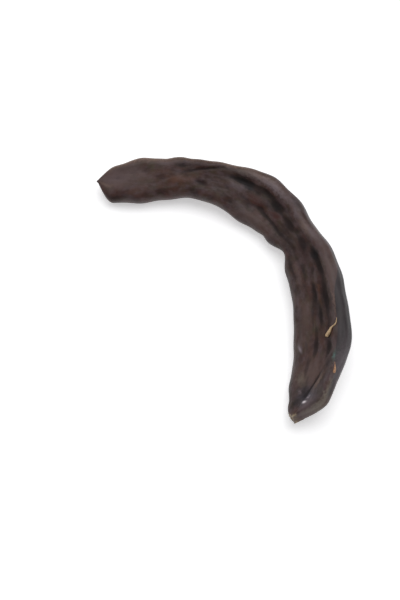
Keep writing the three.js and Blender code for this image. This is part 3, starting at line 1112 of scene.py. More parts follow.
@dataclass(frozen=True)
class PodSkin:
    """The dried skin: chocolate brown, russet and ochre patches, painted shade in hollows, painted sheen on
    crests.

    Ranges say where a soft step begins and ends, and shares how much a paint covers.
    """

    patch_size: float = 7.0
    patch_share: float = 0.6
    streak_share: float = 0.4
    grain_length: float = 3.0
    grain_breadth: float = 0.4
    grain_height: float = 0.05
    dust_size: float = 3.5
    dust_softness: float = 0.2
    stray_along: float = 7.0
    stray_across: float = 4.0
    stray_scales: tuple[float, float] = (0.4, 0.6)
    stray_detail: float = 3.0
    stray_roughness: float = 0.65
    edge_opening: Range = (0.64, 0.74)
    edge_closing: Range = (0.82, 0.895)
    edge_breadth: float = 0.24
    edge_border: Range = (-0.02, 0.01)
    edge_end: Range = (0.92, 0.95)
    edge_sheen_share: float = 0.85
    hollow: Range = (-0.06, -0.35)
    pit: Range = (-0.015, -0.07)
    hollow_shade_share: float = 0.3
    crest: Range = (0.06, 0.35)
    least_crest_sheen: float = 0.4
    crest_sheen_share: float = 0.3
    seam: Range = (0.95, 0.985)
    seam_end: Range = (0.3, 0.4)
    seam_streaks: Range = (0.45, 0.6)
    least_seam: float = 0.5
    seam_share: float = 0.5
    wood_streaks: Range = (0.42, 0.58)
    roughness: float = 0.34
    dust_roughness: float = 0.08
    grain_roughness: float = 0.1
    hollow_roughness: float = 0.2
    scar_roughness: float = 0.3
    specular: float = 0.2

    umber: Paint = Paint(78, 53, 46)
    dark: Paint = Paint(46, 29, 25)
    # Painted shade in the hollows.
    hollow_shade_paint: Paint = Paint(19, 12, 12)
    # Painted grey-lilac sheen on the crests.
    crest_sheen_paint: Paint = Paint(92, 84, 86)
    # Painted reflection of the white surroundings on the outer edge face.
    edge_sheen_paint: Paint = Paint(42, 41, 44)
    tan: Paint = Paint(128, 108, 92)
    wood: Paint = Paint(178, 160, 136)
    bark: Paint = Paint(80, 60, 50)
    mottles: tuple[Mottle, ...] = (
        Mottle(Paint(68, 35, 28), 0.55, 5.5, 1.7, 0.4, 3.0),
        Mottle(Paint(22, 14, 18), 0.65, 3.8, 1.6, 0.4, 11.0),
        Mottle(Paint(62, 55, 37), 0.5, 3.0, 1.5, 0.35, 23.0),
        Mottle(Paint(92, 77, 82), 0.45, 2.6, 1.7, 0.4, 31.0),
    )
    # Dark patches laid on the relief's hollows are partly painted shade, partly the skin's own dark stains.
    # Lilac, pale and teal spots are painted sheen, highlights and glints.
    tints: tuple[Tint, ...] = (
        Tint(StainShadeAndSheen.BROWN, 0.85, 0.045, 0.2, 15, 8),
        Tint(StainShadeAndSheen.TAN, 0.5, 0.025, -0.25, 4.5, 1.2),
        Tint(StainShadeAndSheen.MAROON, 0.6, 0.06, 0.12, 2, 1.2),
        # Painted shade on the lower inner edge at the style end.
        Tint(StainShadeAndSheen.BLACK_BROWN, 0.8, 0.045, -0.85, 5, 2),
        Tint(StainShadeAndSheen.RED_BROWN, 0.4, 0.055, -0.6, 3, 2),
        Tint(StainShadeAndSheen.LILAC, 0.45, 0.05, 0.15, 9, 6),
        Tint(StainShadeAndSheen.TAN, 0.85, 0.12, 0.92, 28, 1.9),
        Tint(StainShadeAndSheen.OLIVE, 0.7, 0.14, 0.5, 1.3, 3),
        Tint(StainShadeAndSheen.LILAC, 0.45, 0.175, 0.64, 6, 2.2),
        Tint(StainShadeAndSheen.OCHRE, 0.45, 0.2, -0.15, 6, 3),
        Tint(StainShadeAndSheen.BLUE_BLACK, 0.6, 0.21, 0.52, 3, 1.8),
        Tint(StainShadeAndSheen.MAROON, 0.8, 0.255, -0.25, 3, 1.5),
        Tint(StainShadeAndSheen.BLACK_BROWN, 0.75, 0.27, 0.52, 10, 0.8, 0.26),
        Tint(StainShadeAndSheen.TAN, 0.7, 0.325, 0.92, 10, 1.2),
        Tint(StainShadeAndSheen.TAN, 0.55, 0.385, 0.76, 9, 1.4),
        Tint(StainShadeAndSheen.BLUE_BLACK, 0.9, 0.345, 0.37, 5.5, 1.6),
        Tint(StainShadeAndSheen.LILAC, 0.45, 0.348, 0.02, 5, 2.4),
        Tint(StainShadeAndSheen.BLACK_BROWN, 0.75, 0.348, -0.58, 3, 1.5),
        Tint(StainShadeAndSheen.BLUE_BLACK, 0.85, 0.37, 0.3, 3, 1.9),
        Tint(StainShadeAndSheen.BLACK_BROWN, 0.75, 0.397, 0.22, 3, 1.4),
        Tint(StainShadeAndSheen.BROWN, 0.5, 0.385, 0.46, 2.4, 0.9),
        Tint(StainShadeAndSheen.BLACK_BROWN, 0.8, 0.418, 0.38, 5, 1.4),
        Tint(StainShadeAndSheen.RED_BROWN, 0.7, 0.41, -0.05, 6, 2.4),
        # Painted highlight along the outer rim's crest.
        Tint(StainShadeAndSheen.PALE, 0.45, 0.418, 0.7, 11, 1.3),
        Tint(StainShadeAndSheen.MAROON, 0.6, 0.424, -0.16, 2.5, 1.3),
        Tint(StainShadeAndSheen.BROWN, 0.7, 0.43, -0.68, 12, 3),
        Tint(StainShadeAndSheen.BLUE_BLACK, 0.85, 0.452, 0.27, 3.5, 2.1),
        Tint(StainShadeAndSheen.RED_BROWN, 0.7, 0.463, 0.0, 3, 2),
        Tint(StainShadeAndSheen.MAROON, 0.8, 0.482, -0.32, 9, 0.9, -0.08),
        Tint(StainShadeAndSheen.LILAC, 0.6, 0.497, 0.66, 3, 1.4),
        Tint(StainShadeAndSheen.MAROON, 0.7, 0.5, 0.25, 4, 1.8),
        Tint(StainShadeAndSheen.TAN, 0.6, 0.539, 0.7, 4, 2),
        Tint(StainShadeAndSheen.BLACK_BROWN, 0.75, 0.55, -0.32, 8, 3),
        Tint(StainShadeAndSheen.LILAC, 0.6, 0.555, 0.8, 6, 2),
        Tint(StainShadeAndSheen.MAROON, 0.75, 0.58, 0.08, 8, 2.8),
        Tint(StainShadeAndSheen.BLUE_BLACK, 1.0, 0.605, 0.4, 3.2, 1.9),
        Tint(StainShadeAndSheen.BLACK_BROWN, 0.7, 0.61, -0.62, 7, 0.9),
        Tint(StainShadeAndSheen.BLACK_BROWN, 0.95, 0.633, 0.42, 4.5, 1.7),
        Tint(StainShadeAndSheen.BROWN, 0.5, 0.64, -0.42, 9, 1.2),
        Tint(StainShadeAndSheen.BROWN, 0.8, 0.66, 0.8, 12, 2.4),
        # Painted shadow along the inner edge.
        Tint(StainShadeAndSheen.BLACK_BROWN, 0.85, 0.7, -0.98, 45, 2.0),
        Tint(StainShadeAndSheen.OCHRE, 0.65, 0.69, 0.2, 1.8, 0.8),
        Tint(StainShadeAndSheen.BLACK_BROWN, 0.8, 0.705, -0.02, 9, 1.0),
        Tint(StainShadeAndSheen.OCHRE, 0.5, 0.715, 0.15, 5, 0.6),
        Tint(StainShadeAndSheen.MAROON, 0.9, 0.717, 0.37, 9, 2.1),
        Tint(StainShadeAndSheen.BLACK_BROWN, 0.6, 0.717, 0.38, 5, 1.3),
        Tint(StainShadeAndSheen.TAN, 0.5, 0.725, 0.72, 7, 0.6),
        Tint(StainShadeAndSheen.BLACK_BROWN, 0.85, 0.75, 0.12, 8, 1.2),
        Tint(StainShadeAndSheen.BROWN, 0.5, 0.755, -0.42, 13, 2.8),
        Tint(StainShadeAndSheen.OLIVE, 0.6, 0.78, -0.12, 3, 0.9),
        Tint(StainShadeAndSheen.OCHRE, 0.6, 0.8, -0.1, 2, 0.7),
        Tint(StainShadeAndSheen.MAROON, 0.7, 0.815, -0.08, 6, 1.4),
        Tint(StainShadeAndSheen.BLACK_BROWN, 0.75, 0.832, 0.46, 3, 1.4),
        # Painted glint.
        Tint(StainShadeAndSheen.TEAL, 0.9, 0.846, 0.84, 2.2, 0.8),
        Tint(StainShadeAndSheen.BLUE_BLACK, 0.6, 0.865, 0.7, 2.4, 1.4),
        Tint(StainShadeAndSheen.BROWN, 0.75, 0.885, 0.0, 9, 6),
        Tint(StainShadeAndSheen.STRAW, 0.25, 0.905, -0.4, 3.2, 2.4),
        Tint(StainShadeAndSheen.TAN, 0.5, 0.91, 0.46, 4, 1.1, -0.5),
        Tint(StainShadeAndSheen.STEEL, 0.85, 0.945, 0.1, 5, 7),
        Tint(StainShadeAndSheen.BLACK_BROWN, 0.5, 0.912, 0.2, 6, 0.9, -0.6),
        Tint(StainShadeAndSheen.BLUE_BLACK, 0.3, 0.936, -0.1, 2.4, 3.4),
        # Painted shadow along the inner edge at the stalk end.
        Tint(StainShadeAndSheen.BLACK_BROWN, 0.85, 0.93, -0.88, 10, 2.0),
        # Painted glints in the hollow at the stalk end.
        Tint(StainShadeAndSheen.LILAC, 0.8, 0.936, -0.3, 1.0, 1.0),
        Tint(StainShadeAndSheen.PALE, 0.8, 0.947, 0.15, 0.9, 1.1),
        Tint(StainShadeAndSheen.LILAC, 0.6, 0.965, 0.6, 5, 5),
        Tint(StainShadeAndSheen.BLUE_BLACK, 0.45, 0.97, -0.35, 3.5, 3.5),
        Tint(StainShadeAndSheen.STRAW, 0.45, 0.928, 0.99, 9, 0.6),
    )
    # The lilac and pale strips are painted sheen on the outer edge.
    edge_tints: tuple[Tint, ...] = (
        Tint(StainShadeAndSheen.PALE, 0.3, 0.856, 0.97, 8, 1.5),
        Tint(StainShadeAndSheen.LILAC, 0.6, 0.98, 1.0, 6, 1.8),
        Tint(StainShadeAndSheen.STRAW, 0.3, 0.958, 1.0, 5, 1.3),
        Tint(StainShadeAndSheen.CREAM, 0.75, 1.0, 0.75, 1.2, 3.5),
    )
    # Painted highlights: the pale mark and the glint; the cream mark is a pale streak on the stalk end.
    marks: tuple[Tint, ...] = (
        Tint(StainShadeAndSheen.PALE, 0.8, 0.826, -0.6, 1.8, 0.6, 0.3),
        Tint(StainShadeAndSheen.GLINT, 1.0, 0.9595, 0.2, 0.75, 1.7, -0.3),
        Tint(StainShadeAndSheen.CREAM, 0.95, 1.0, 0.35, 0.9, 3.5),
    )

    def edge_face(self, along: Field, across: Field) -> Field:
        """Where the outer edge face is painted slate grey, a painted reflection; it broadens where the pod
        rolls most.

        Args:
            along: The place along the pod.
            across: The place across the face.

        Returns:
            The mask.
        """
        broad = ease(along, *self.edge_opening) * self.edge_breadth
        border = 1.0 - broad + ease(along, *self.edge_closing) * self.edge_breadth
        return ease(across - border, *self.edge_border) * (1.0 - ease(along, *self.edge_end))

    def pale_seam(self, along: Field, across: Field, streaks: Field) -> Field:
        """Where the skin is painted tan along the outer edge, in the style half.

        Args:
            along: The place along the pod.
            across: The place across the face.
            streaks: The streaks that run along the skin.

        Returns:
            The mask.
        """
        streaky = lerp(self.least_seam, 1.0, ease(streaks, *self.seam_streaks))
        return ease(across, *self.seam) * (1.0 - ease(along, *self.seam_end)) * streaky

    def material(self, effects: Effects, shape: PodShape) -> bpy.types.Material:
        """Makes the skin's material.

        Args:
            effects: The shared node groups.
            shape: The pod's form, by which the patches are placed.

        Returns:
            The material, which reads the attributes that the pod's mesh keeps.
        """
        bench = MaterialBench("carob_skin")
        straight = bench.attribute("straight", "Vector")
        along, across, top = bench.parts(bench.attribute("place", "Vector"))
        fine, broad = bench.attribute("proud"), bench.attribute("ridge")
        scar = bench.attribute("scar")
        grain = {"Grain length": self.grain_length, "Grain breadth": self.grain_breadth}
        dusting = {"Patch size": self.dust_size, "Softness": self.dust_softness}
        streaks = bench.effect(effects.grain, "Streaks", Place=straight)
        relief = bench.effect(effects.grain, "Height", Place=straight, **grain)
        patches = bench.effect(effects.mottle, "Mask", Place=straight, Patch_size=self.patch_size)
        dust = bench.effect(effects.mottle, "Mask", Place=straight, **dusting)

        ground = patches * self.patch_share + streaks * self.streak_share
        coat = Coat(bench, effects, shape, bench.mixed(self.dark, self.umber, ground))
        coat.mottle(self.mottles, straight)
        layers = {"detail": self.stray_detail, "roughness": self.stray_roughness}
        drift, sway = (bench.noise(straight, scale=scale, **layers) - 0.5 for scale in self.stray_scales)
        lengthwise, crosswise = along * shape.length, across * shape.half_width_at_stalk
        stray_lengthwise = lengthwise + drift * self.stray_along
        stray_crosswise = crosswise + sway * self.stray_across
        coat.tint(self.tints, bench.vector(stray_lengthwise, stray_crosswise, top))
        # Painted reflection: the outer edge face is painted slate grey.
        coat.cover(self.edge_sheen_paint, self.edge_face(along, across) * self.edge_sheen_share)
        coat.tint(self.edge_tints, bench.vector(stray_lengthwise, stray_crosswise, 1.0))
        coat.tint(self.marks, bench.vector(lengthwise, crosswise, top))

        sunk = ease(broad, *self.hollow)
        # Painted shade: the broad hollows and the small pits of the relief are darkened towards near-black.
        coat.cover(self.hollow_shade_paint, clamped(sunk * self.hollow_shade_share + ease(fine, *self.pit) * self.hollow_shade_share))
        # Painted sheen: the crests are painted a light grey-lilac, patchily by the dust mottle.
        crest_sheen = ease(broad, *self.crest) * lerp(self.least_crest_sheen, 1.0, dust)
        coat.cover(self.crest_sheen_paint, crest_sheen * self.crest_sheen_share)
        coat.cover(self.tan, self.pale_seam(along, across, streaks) * self.seam_share)
        coat.cover(bench.mixed(self.bark, self.wood, ease(streaks, *self.wood_streaks)), scar)
        dull = dust * self.dust_roughness + relief * self.grain_roughness + sunk * self.hollow_roughness
        roughness = dull + scar * self.scar_roughness + self.roughness
        height = relief * self.grain_height
        return bench.finish(coat.colour, roughness, height, Specular_IOR_Level=self.specular)


@dataclass(frozen=True)
class DryFibre:
    """Dead, pale plant fibre: straw-coloured, with darker streaks."""

    name: str
    straw: Paint
    shade: Paint
    roughness: float = 0.6
    grain_length: float = 0.8
    streak_breadth: float = 0.3
    ridge_breadth: float = 0.15
    ridge_height: float = 0.08
    pale_streaks: Range = (0.3, 0.6)

    def material(self, effects: Effects) -> bpy.types.Material:
        """Makes the fibre's material, on object coordinates.

        Args:
            effects: The shared node groups.

        Returns:
            The material.
        """
        bench = MaterialBench(self.name)
        along = {"Place": bench.millimetres(), "Grain length": self.grain_length}
        streaks = bench.effect(effects.grain, "Streaks", Grain_breadth=self.streak_breadth, **along)
        relief = bench.effect(effects.grain, "Height", Grain_breadth=self.ridge_breadth, **along)
        colour = bench.mixed(self.shade, self.straw, ease(streaks, *self.pale_streaks))
        return bench.finish(colour, self.roughness, relief * self.ridge_height)


@dataclass(frozen=True)
class FloorFinish:
    """A plain white table of matt acrylic, lit a little from below so that shadows stay faint."""

    acrylic: Paint = Paint(248, 248, 249)
    roughness: float = 0.9
    glow: float = 0.45
    tooth_size: float = 1.0
    tooth_height: float = 0.01

    def material(self, effects: Effects) -> bpy.types.Material:
        """Makes the table's material, with the faint tooth of its surface.

        Args:
            effects: The shared node groups.

        Returns:
            The material.
        """
        bench = MaterialBench("white_acrylic")
        white = self.acrylic.linear()
        sizes = {"Grain length": self.tooth_size, "Grain breadth": self.tooth_size}
        tooth = bench.effect(effects.grain, "Height", Place=bench.millimetres(), **sizes)
        bench.shader.inputs["Emission Color"].default_value = white
        return bench.finish(white, self.roughness, tooth * self.tooth_height, Emission_Strength=self.glow)


class Fold(Enum):
    """A kind of wrinkle."""

    CREASE = "narrow valleys between flat land"
    ROLL = "soft rolling hills"


@dataclass(frozen=True)
class Wrinkles:
    """One scale of the wrinkles in the dried skin, in millimetres."""

    fold: Fold
    length: float
    breadth: float
    depth: float
    shift: float

    def height(self, bench: Bench, s: Field, c: Field, t: Field) -> Field:
        """How far the wrinkles lift the skin.

        Args:
            bench: The tree that the wrinkles are added to.
            s: The distance along the pod.
            c: The distance across the face.
            t: The distance through the pod.

        Returns:
            The height, in millimetres.
        """
        place = bench.vector(s / self.length + self.shift, c / self.breadth, t / self.breadth)
        seen = bench.noise(place, detail=1.5) - 0.5
        if self.fold is Fold.CREASE:
            return (ease(abs(seen), 0.0, CREASE_WIDTH) - 1.0) * self.depth
        return seen * 2.0 * self.depth


SIZE_NAMES = {
    "length": "Length",
    "half_width_at_style": "Half width at the style end",
    "half_width_at_stalk": "Half width at the stalk end",
    "rim_thickness": "Rim thickness",
    "web_at_style": "Web thickness at the style end",
    "web_at_stalk": "Web thickness at the stalk end",
    "settle": "Settling",
}


@dataclass(frozen=True)
class PodBody:
    """The pod's skin as one fine mesh: its form, wrinkled as it dried, and closed at both ends."""

    shape: PodShape = PodShape()
    rings: int = 600
    around: int = 144
    scar_rings: int = 14
    end_crowding: float = 0.4
    merge: float = 0.001
    scar_edge: Range = (0.05, 0.3)
    scar_sinking: Range = (0.1, 0.45)
    scar_grain: float = 2.0
    edge_faces: Range = (0.88, 0.98)
    edge_calm: float = 0.65
    tip: Range = (0.0, 0.06)
    end_wrinkling: float = 0.15
    shrinking: Range = (0.2, 0.5)
    style_wrinkling: float = 0.5
    near_steps: int = 8
    wide_steps: int = 40
    wrinkles: tuple[Wrinkles, ...] = (
        Wrinkles(Fold.ROLL, 14.0, 6.5, 0.35, 0.0),
        Wrinkles(Fold.CREASE, 40.0, 5.0, 0.09, 7.0),
        Wrinkles(Fold.CREASE, 16.0, 2.4, 0.04, 13.0),
        Wrinkles(Fold.ROLL, 6.0, 3.2, 0.13, 21.0),
    )

    def middle_line(self) -> bpy.types.Curve:
        """The pod's middle line in plan.

        Returns:
            The line as a curve, in metres.
        """
        line = bpy.data.curves.new("middle_line", "CURVE")
        line.dimensions = "3D"
        points = self.shape.plan()
        spline = line.splines.new("POLY")
        spline.points.add(len(points) - 1)
        for point, place in zip(spline.points, points):
            point.co = (*(place * MM), 1.0)
        return line

    def build(self, finish: bpy.types.Material) -> bpy.types.Object:
        """Makes the pod's mesh.

        Args:
            finish: The skin's material.

        Returns:
            The pod.
        """
        bench = GeometryBench("pod_skin_rule")
        middle_line = bench.flow
        sized = {name: bench.size(label, getattr(self.shape, name)) for name, label in SIZE_NAMES.items()}
        wrinkling = bench.size("Wrinkling", 1.0)
        self.grid(bench)
        self.formed(bench, replace(self.shape, **sized), middle_line)
        self.wrinkled(bench, wrinkling)
        self.measured(bench)
        bench.then("GeometryNodeSetShadeSmooth")
        return bench.make("pod_body", self.middle_line(), finish)

    def grid(self, bench: GeometryBench) -> None:
        """Lays a sheet of points, a row for each ring and a column for each place round it.

        Args:
            bench: The tree.
        """
        rows = self.rings + 1 + self.scar_rings
        size = {"Size X": 1.0, "Size Y": 1.0, "Vertices X": rows, "Vertices Y": self.around + 1}
        bench.flow = bench.add("GeometryNodeMeshGrid", size).outputs["Mesh"]

    def formed(self, bench: GeometryBench, shape: PodShape, middle_line: bpy.types.NodeSocket) -> None:
        """Bends the sheet into the pod's form and closes it.

        Args:
            bench: The tree.
            shape: The pod's form, with its sizes read from the tree's inputs.
            middle_line: The curve that the pod follows.
        """
        index = Field(bench.add("GeometryNodeInputIndex").outputs[0])
        row = ((index + 0.5) / (self.around + 1)).reckon("FLOOR")
        column = index - row * (self.around + 1)
        even = clamped(row / self.rings)
        along = even - sine(even * math.tau) * (self.end_crowding / math.tau)
        inward = clamped((row - self.rings) / self.scar_rings)
        angle = (1.0 - column / self.around) * math.tau
        across = cosine(angle)
        top = sine(angle).reckon("GREATER_THAN", 0.0)

        reading = {"Curves": middle_line, "Factor": along}
        sampled = bench.add("GeometryNodeSampleCurve", reading, mode="FACTOR").outputs["Position"]
        x, y, _ = bench.parts(Field(sampled))
        station = shape.station(along, x / MM, y / MM)
        outward, upward, forward = shape.skin(along, across, top, station.half_width)
        opening = clamped(row)
        scar_middle = (shape.snout.outer - shape.snout.inner) / 2 - shape.snout_hook
        outward = lerp(lerp(shape.tip_rise, outward, opening), scar_middle, inward)
        upward = upward * opening * (1.0 - inward)
        sinking = ease(inward, *self.scar_sinking) * shape.scar_depth
        forward = lerp(forward, -shape.snout_bluntness, inward) - sinking
        x, y, z = station.place(outward, upward, forward)
        lengthwise = along * shape.length - inward * self.scar_grain
        bench.store("straight", bench.vector(lengthwise, outward, upward), "FLOAT_VECTOR")
        bench.store("place", bench.vector(along, across, top), "FLOAT_VECTOR")
        bench.store("scar", ease(inward, *self.scar_edge))
        position = bench.vector(x * MM, y * MM, z.reckon("MAXIMUM", 0.0) * MM)
        bench.then("GeometryNodeSetPosition", {"Position": position})
        bench.then("GeometryNodeMergeByDistance", {"Distance": self.merge * MM})

    def wrinkled(self, bench: GeometryBench, wrinkling: Field) -> None:
        """Wrinkles the skin along its own normals, least on the edge faces, and keeps it above the surface.

        Args:
            bench: The tree.
            wrinkling: The share of the full wrinkling.
        """
        s, c, t = bench.parts(bench.kept("straight", "FLOAT_VECTOR"))
        along, across, _ = bench.parts(bench.kept("place", "FLOAT_VECTOR"))
        height = sum(wrinkles.height(bench, s, c, t) for wrinkles in self.wrinkles)
        edge = 1.0 - ease(abs(across), *self.edge_faces) * self.edge_calm
        ends = lerp(self.end_wrinkling, 1.0, ease(along, *self.tip) * (1.0 - bench.kept("scar")))
        shrunk = lerp(self.style_wrinkling, 1.0, ease(along, *self.shrinking))
        lift = height * edge * ends * shrunk * wrinkling
        normal = bench.add("GeometryNodeInputNormal").outputs[0]
        bench.then("GeometryNodeSetPosition", {"Offset": bench.scaled(normal, lift * MM)})
        x, y, z = bench.parts(Field(bench.add("GeometryNodeInputPosition").outputs[0]))
        bench.then("GeometryNodeSetPosition", {"Position": bench.vector(x, y, z.reckon("MAXIMUM", 0.0))})

    def measured(self, bench: GeometryBench) -> None:
        """Keeps how far each point stands proud of its near and wide surroundings, in millimetres.

        Args:
            bench: The tree.
        """
        place = bench.add("GeometryNodeInputPosition").outputs[0]
        normal = bench.add("GeometryNodeInputNormal").outputs[0]
        for name, reach in {"proud": self.near_steps, "ridge": self.wide_steps}.items():
            around = {"Value": place, "Iterations": reach, "Weight": 1.0}
            smooth = bench.add("GeometryNodeBlurAttribute", around, data_type="FLOAT_VECTOR").outputs[0]
            away = bench.add("ShaderNodeVectorMath", operation="SUBTRACT")
            connect(away.inputs[0], place)
            connect(away.inputs[1], smooth)
            proud = bench.add("ShaderNodeVectorMath", operation="DOT_PRODUCT")
            connect(proud.inputs[0], away.outputs[0])
            connect(proud.inputs[1], normal)
            bench.store(name, Field(proud.outputs["Value"]) / MM)


@dataclass(frozen=True)
class SkinPlace:
    """A place on the top face, and how high over the skin it is, in millimetres."""

    along: float
    across: float
    lift: float


@dataclass(frozen=True)
class Strand:
    """A dead fibre that lies on the skin: thin for most of its length, with a blob at its end."""

    name: str
    route: tuple[SkinPlace, ...]
    radius: float
    blob_radius: float
    blob_share: float
    sides: int = 10
    points: int = 60
    root_share: float = 0.4
    thickening: Range = (0.0, 0.5)
    blob_growth: Range = (0.0, 0.75)
    blob_tapering: Range = (0.9, 1.03)
    blob_taper: float = 0.8

    def line(self, body: bpy.types.Object, shape: PodShape) -> bpy.types.Curve:
        """The strand's middle line over the finished skin, as a curve in metres.

        Args:
            body: The finished pod.
            shape: The pod's form, by which the route is placed.

        Returns:
            The curve.
        """
        skin = BVHTree.FromObject(body, bpy.context.evaluated_depsgraph_get())
        line = bpy.data.curves.new(self.name + "_line", "CURVE")
        line.dimensions = "3D"
        spline = line.splines.new("BEZIER")
        spline.bezier_points.add(len(self.route) - 1)
        for point, place in zip(spline.bezier_points, self.route):
            middle = shape.plan_point(place.along)
            station = shape.station(place.along, middle.x, middle.y)
            formed = station.place(*shape.skin(place.along, place.across, 1.0, station.half_width))
            hit, normal, _, _ = skin.find_nearest(Vector(formed) * MM)
            point.co = hit + normal * (place.lift * MM)
            point.handle_left_type = point.handle_right_type = "AUTO"
        return line

    def build(self, body: bpy.types.Object, shape: PodShape, finish: bpy.types.Material) -> bpy.types.Object:
        """Makes the strand's mesh.

        Args:
            body: The finished pod.
            shape: The pod's form, by which the route is placed.
            finish: The fibre's material.

        Returns:
            The strand.
        """
        bench = GeometryBench(self.name + "_rule")
        radius = bench.size("Radius", self.radius)
        blob = bench.size("Blob radius", self.blob_radius)
        bench.then("GeometryNodeResampleCurve", {"Count": self.points})
        share = Field(bench.add("GeometryNodeSplineParameter").outputs["Factor"])
        thin = lerp(self.root_share, 1.0, ease(share, *self.thickening)) * radius
        through = (share - (1.0 - self.blob_share)) / self.blob_share
        taper = 1.0 - ease(through, *self.blob_tapering) * self.blob_taper
        swollen = ease(through, *self.blob_growth) * taper
        circle = {"Resolution": self.sides, "Radius": 1.0}
        profile = bench.add("GeometryNodeCurvePrimitiveCircle", circle).outputs["Curve"]
        tube = {"Profile Curve": profile, "Scale": lerp(thin, blob, swollen) * MM, "Fill Caps": True}
        bench.then("GeometryNodeCurveToMesh", tube)
        bench.then("GeometryNodeSetShadeSmooth")
        return bench.make(self.name, self.line(body, shape), finish)


@dataclass(frozen=True)
class ScarFibres:
    """The short ends of torn fibres that stand on the stalk scar."""

    name: str = "stalk_scar_fibres"
    spacing: float = 0.4
    density: float = 9.0
    length: float = 0.9
    radius: float = 0.11
    tip_share: float = 0.3
    sides: int = 6
    side_segments: int = 3
    scar_level: float = 0.9
    turns: tuple[tuple[float, float, float], ...] = ((-0.5, -0.5, 0.0), (0.5, 0.5, math.tau))
    scales: tuple[tuple[float, float, float], ...] = ((0.6, 0.6, 0.4), (1.3, 1.3, 1.5))
    seed: int = 7

    @staticmethod
    def scattered(bench: Bench, ranges: tuple[tuple[float, float, float], ...], seed: int) -> Any:
        """Random vectors, one for each fibre.

        Args:
            bench: The tree.
            ranges: Their least and their greatest values.
            seed: Their seed.

        Returns:
            The output socket.
        """
        node = bench.add("FunctionNodeRandomValue", {"Seed": seed}, data_type="FLOAT_VECTOR")
        for name, value in zip(("Min", "Max"), ranges):
            node.inputs[name].default_value = value
        return node.outputs[0]

    def build(self, body: bpy.types.Object, finish: bpy.types.Material) -> bpy.types.Object:
        """Scatters the fibres over the scar.

        Args:
            body: The finished pod, whose mesh keeps where the scar is.
            finish: The fibres' material.

        Returns:
            All fibres as one piece.
        """
        bench = GeometryBench("scar_fibre_rule")
        length = bench.size("Fibre length", self.length * MM)
        radius = bench.size("Fibre radius", self.radius * MM)
        on_scar = bench.kept("scar").reckon("GREATER_THAN", self.scar_level)
        scatter = {"Distance Min": self.spacing * MM, "Density Max": self.density / MM**2, "Seed": self.seed}
        spread = bench.then("GeometryNodeDistributePointsOnFaces", scatter, distribute_method="POISSON")
        connect(spread.inputs["Selection"], on_scar)
        cone = {"Radius Top": radius * self.tip_share, "Radius Bottom": radius, "Depth": length}
        counts = {"Vertices": self.sides, "Side Segments": self.side_segments}
        fibre = bench.add("GeometryNodeMeshCone", cone | counts, fill_type="NGON").outputs["Mesh"]
        turned, scaled = (
            self.scattered(bench, ranges, self.seed + i) for i, ranges in enumerate((self.turns, self.scales))
        )
        standing = {"Rotation": spread.outputs["Rotation"]}
        lean = bench.add("FunctionNodeRotateRotation", standing, rotation_space="LOCAL")
        connect(lean.inputs["Rotate By"], turned)
        placed = {"Instance": fibre, "Rotation": lean.outputs[0], "Scale": scaled}
        bench.then("GeometryNodeInstanceOnPoints", placed)
        return bench.make(self.name, body.data, finish)


@dataclass(frozen=True)
class SoftLight:
    """A softbox that looks at the pod. Distances are in metres, angles in degrees, and power in watts."""

    name: str
    azimuth: float
    elevation: float
    distance: float
    size: float
    power: float
    tone: Paint = Paint(255, 255, 255)

    def build(self, target: Vector) -> None:
        """Hangs the light.

        Args:
            target: Where it points.
        """
        light = bpy.data.lights.new(self.name, "AREA")
        light.shape = "DISK"
        light.size = self.size
        light.energy = self.power
        light.color = self.tone.linear()[:3]
        lamp = bpy.data.objects.new(self.name, light)
        away = sight(self.azimuth, self.elevation)
        lamp.location = target + away * self.distance
        lamp.rotation_euler = away.to_track_quat("Z", "Y").to_euler()
        bpy.context.scene.collection.objects.link(lamp)


def sight(azimuth: float, elevation: float) -> Vector:
    """The direction from the pod to a viewer, by degrees round from -Y and up from level."""
    turn, rise = math.radians(azimuth), math.radians(elevation)
    return Vector((math.sin(turn) * math.cos(rise), -math.cos(turn) * math.cos(rise), math.sin(rise)))


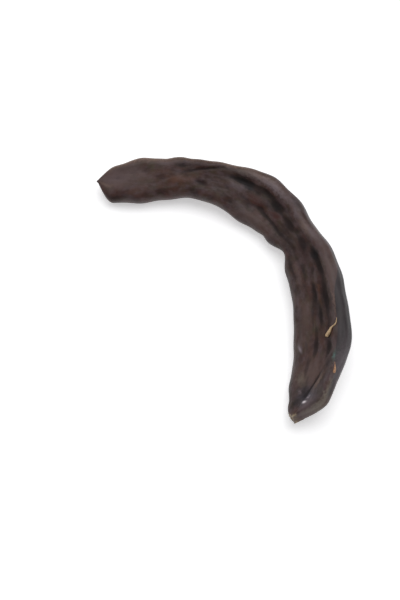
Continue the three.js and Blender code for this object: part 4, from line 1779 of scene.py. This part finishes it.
@dataclass(frozen=True)
class Studio:
    """The white floor, the soft lights and the camera, which stands where the photograph's stood."""

    target: Vector = Vector((0.0, 0.0, 0.008)).freeze()
    camera_azimuth: float = 0.0
    camera_elevation: float = 65.0
    camera_distance: float = 0.52
    sensor: float = 36.0
    lens: float = 65.9
    shift: tuple[float, float] = (-0.03, -0.0238)
    floor_size: float = 4.0
    air: Paint = Paint(255, 255, 255)
    air_strength: float = 0.28
    lights: tuple[SoftLight, ...] = (
        SoftLight("overhead_softbox", 150.0, 65.0, 1.2, 1.5, 10.5),
        SoftLight("left_softbox", -112.0, 32.0, 1.3, 1.2, 2.8),
    )

    def build(self, finish: bpy.types.Material) -> None:
        """Sets up the studio.

        Args:
            finish: The floor's material.
        """
        self.lay_floor(finish)
        self.fill_air()
        for light in self.lights:
            light.build(self.target)
        self.place_camera()
        bpy.context.scene.view_settings.view_transform = "Standard"

    def lay_floor(self, finish: bpy.types.Material) -> None:
        """Lays a level white floor, which isn't part of the pod.

        Args:
            finish: The floor's material.
        """
        half = self.floor_size / 2
        corners = [(-half, -half, 0.0), (half, -half, 0.0), (half, half, 0.0), (-half, half, 0.0)]
        mesh = bpy.data.meshes.new("floor")
        mesh.from_pydata(corners, [], [(0, 1, 2, 3)])
        mesh.materials.append(finish)
        floor = bpy.data.objects.new("floor", mesh)
        bpy.context.scene.collection.objects.link(floor)

    def fill_air(self) -> None:
        """Even white light from all round."""
        world = bpy.data.worlds.new("white_studio")
        world.use_nodes = True
        background = world.node_tree.nodes["Background"]
        background.inputs["Color"].default_value = self.air.linear()
        background.inputs["Strength"].default_value = self.air_strength
        bpy.context.scene.world = world

    def place_camera(self) -> None:
        """The camera at the photograph's viewing angle."""
        lens = bpy.data.cameras.new("camera")
        lens.sensor_width = self.sensor
        lens.lens = self.lens
        lens.shift_x, lens.shift_y = self.shift
        camera = bpy.data.objects.new("camera", lens)
        away = sight(self.camera_azimuth, self.camera_elevation)
        camera.location = self.target + away * self.camera_distance
        camera.rotation_euler = away.to_track_quat("Z", "Y").to_euler()
        bpy.context.scene.collection.objects.link(camera)
        bpy.context.scene.camera = camera


def hand_over(piece: bpy.types.Object) -> None:
    """Makes a finished piece part of the pod, in the place of its plain solid.

    Args:
        piece: The piece.
    """
    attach(piece, BODY)
    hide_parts(NODE)
    LOG.info("%s: %d triangles", piece.name, sum(len(face.vertices) - 2 for face in piece.data.polygons))


def main() -> None:
    """Builds the pod, its small pieces and the studio."""
    logging.basicConfig(level=logging.INFO, format="%(name)s: %(message)s")
    effects = Effects.made()
    straw = DryFibre("straw_fibre", Paint(206, 178, 140), Paint(146, 114, 80)).material(effects)
    torn_bark = DryFibre("torn_bark", Paint(190, 146, 112), Paint(146, 98, 68)).material(effects)
    Studio().build(FloorFinish().material(effects))

    pod = PodBody()
    body = pod.build(PodSkin().material(effects, pod.shape))
    hand_over(body)
    route = (
        SkinPlace(0.77, 0.75, 0.05),
        SkinPlace(0.782, 0.7, 0.15),
        SkinPlace(0.789, 0.53, 0.35),
        SkinPlace(0.797, 0.42, 0.4),
        SkinPlace(0.805, 0.3, 0.3),
    )
    strand = Strand("torn_fibre", route, 0.36, 0.84, 0.6)
    hand_over(strand.build(body, pod.shape, straw))
    route = (SkinPlace(0.862, 0.9, 0.1), SkinPlace(0.872, 0.955, 0.2), SkinPlace(0.882, 0.98, 0.1))
    fleck = Strand("bark_fleck", route, 0.25, 0.6, 0.8)
    hand_over(fleck.build(body, pod.shape, torn_bark))
    pith = DryFibre("dry_pith", Paint(188, 178, 162), Paint(112, 92, 76)).material(effects)
    hand_over(ScarFibres().build(body, pith))


if __name__ == "__main__":
    main()
